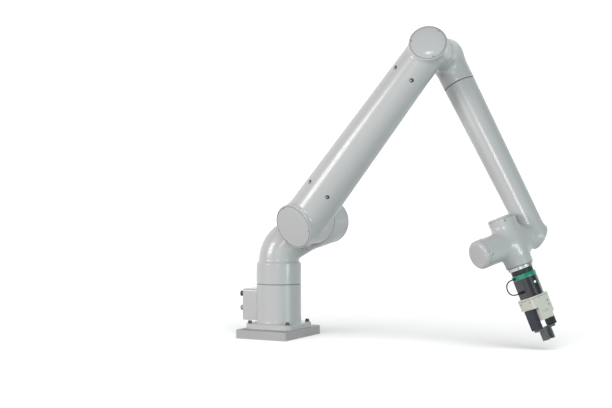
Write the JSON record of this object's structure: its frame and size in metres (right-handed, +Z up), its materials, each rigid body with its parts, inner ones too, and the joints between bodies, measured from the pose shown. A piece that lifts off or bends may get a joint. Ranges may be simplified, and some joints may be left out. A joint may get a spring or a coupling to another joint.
{
  "type": "industrial robot arm",
  "caption": "Floor-mounted articulated robot arm with round tube links, tilted round joint covers and a parallel-finger gripper, bolted to a thick base plate.",
  "frame": {"origin": "centre of the mounting plate's underside, on the base turning axis", "axes": "+X is the way the arm reaches at rest, +Y runs along the shoulder axis from the upper arm towards the forearm, +Z is up"},
  "size_m": [1.2743, 0.3485, 1.1745],
  "materials": {
    "housing_paint": "satin light grey paint",
    "cover_paint": "satin light grey paint",
    "seal_rubber": "matte dark lip seal",
    "plate_metal": "ground plate",
    "panel_plastic": "grey panel",
    "dark_plastic": "satin black",
    "grey_plastic": "matte grey",
    "flange_metal": "turned metal",
    "light_plastic": "lit green diffuser",
    "gripper_plastic": "warm white",
    "finger_metal": "dark anodised",
    "cable_rubber": "black jacket"
  },
  "bodies": {
    "base": {"mounting_plate": "plate_metal", "base_housing": "housing_paint", "base_seal": "seal_rubber", "connector_box": "housing_paint", "connector_panel": "panel_plastic", "power_socket": "dark_plastic", "signal_socket": "dark_plastic", "cable_gland": "grey_plastic"},
    "turret": {"turret_casting": "housing_paint", "shoulder_rear_cover": "cover_paint"},
    "upper_arm": {"upper_arm_casting": "housing_paint", "shoulder_cover": "cover_paint", "elbow_cover": "cover_paint", "shoulder_seal": "seal_rubber", "elbow_seal": "seal_rubber"},
    "elbow": {"elbow_casting": "housing_paint", "elbow_rear_cover": "cover_paint", "forearm_seal": "seal_rubber"},
    "forearm": {"forearm_tube": "housing_paint", "forearm_end_cover": "cover_paint", "wrist_seal": "seal_rubber"},
    "wrist": {"wrist_casting": "housing_paint", "wrist_side_cover": "cover_paint", "wrist_top_cover": "cover_paint", "tool_seal": "seal_rubber"},
    "tool": {"tool_flange": "flange_metal", "tool_coupling": "dark_plastic", "light_ring": "light_plastic", "gripper_motor_housing": "dark_plastic", "status_lamp": "light_plastic", "cable_strip": "gripper_plastic", "gripper_body": "gripper_plastic", "gripper_cable": "cable_rubber", "cable_socket_upper": "dark_plastic", "cable_socket_lower": "dark_plastic"},
    "left_finger": {"finger_left": "dark_plastic", "fingertip_left": "finger_metal"},
    "right_finger": {"finger_right": "dark_plastic", "fingertip_right": "finger_metal"}
  },
  "joints": [
    {"name": "base_turn", "type": "hinge", "parent": "base", "child": "turret", "pos_m": [0, 0, 0.21], "axis": [0, 0, 1], "range_deg": [-180, 180]},
    {"name": "shoulder_lift", "type": "hinge", "parent": "turret", "child": "upper_arm", "pos_m": [0.15, 0.018, 0.461], "axis": [0, 1, 0], "range_deg": [-99, 66]},
    {"name": "elbow_bend", "type": "hinge", "parent": "upper_arm", "child": "elbow", "pos_m": [0.6651, 0, 1.09258], "axis": [0, -1, 0], "range_deg": [-35, 150]},
    {"name": "forearm_roll", "type": "hinge", "parent": "elbow", "child": "forearm", "pos_m": [0.71992, 0.115, 0.98359], "axis": [0.4493, 0, -0.8934], "range_deg": [-180, 180]},
    {"name": "wrist_bend", "type": "hinge", "parent": "forearm", "child": "wrist", "pos_m": [0.97912, 0.07481, 0.40204], "axis": [-0.5314, -0.8039, -0.2673], "range_deg": [-180, 180]},
    {"name": "tool_turn", "type": "hinge", "parent": "wrist", "child": "tool", "pos_m": [0.97612, 0.02894, 0.30277], "axis": [0.3585, 0.0725, -0.9307], "range_deg": [-270, 270]},
    {"name": "finger_open", "type": "slide", "parent": "tool", "child": "left_finger", "axis": [-0.5314, -0.8039, -0.2673], "range_m": [0, 0.02]},
    {"name": "finger_follow", "type": "slide", "parent": "tool", "child": "right_finger", "axis": [0.5314, 0.8039, 0.2673], "range_m": [0, 0.02]}
  ],
  "couplings": [
    {"joint": "finger_follow", "follows": "finger_open", "ratio": 1}
  ]
}
